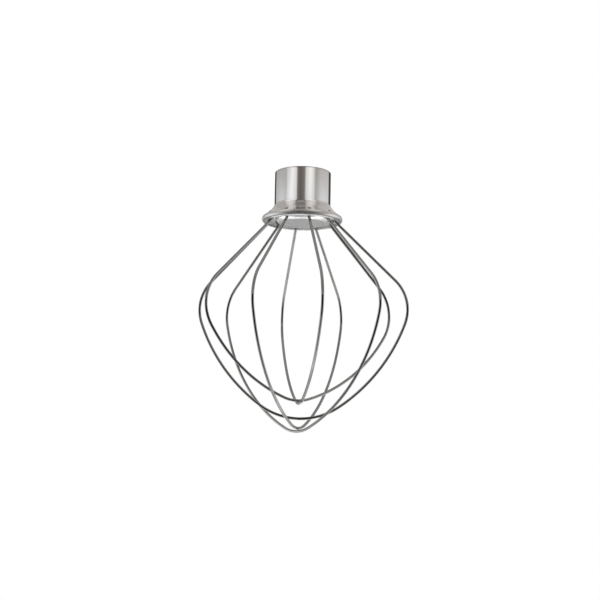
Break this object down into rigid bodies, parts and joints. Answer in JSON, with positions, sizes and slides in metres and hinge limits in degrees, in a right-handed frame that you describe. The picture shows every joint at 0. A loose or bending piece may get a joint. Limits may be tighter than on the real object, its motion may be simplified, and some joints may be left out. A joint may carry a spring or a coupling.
{
  "type": "stand mixer wire whisk",
  "caption": "Pear-shaped wire whisk for a stand mixer: bent steel wire loops hooked into the flared skirt of a drawn hub, with a cast bayonet socket for the mixer's shaft.",
  "frame": {"origin": "centre of the shaft bore at its mouth, in the hub's flat top", "axes": "+Z along the bore, out of its mouth and up towards the mixer; the wire loops hang below; -Y faces the camera of the picture"},
  "size_m": [0.1189, 0.1176, 0.1483],
  "materials": {
    "hub_steel": "drawn stainless sheet, polished",
    "core_cast": "cast, dull, with a bright turned edge",
    "wire_steel": "drawn stainless wire, bright"
  },
  "bodies": {
    "root": {"hub_shell": "hub_steel", "hub_core": "core_cast", "whisk_wire_1": "wire_steel", "whisk_wire_2": "wire_steel", "whisk_wire_3": "wire_steel", "whisk_wire_4": "wire_steel", "whisk_wire_5": "wire_steel"}
  },
  "joints": []
}
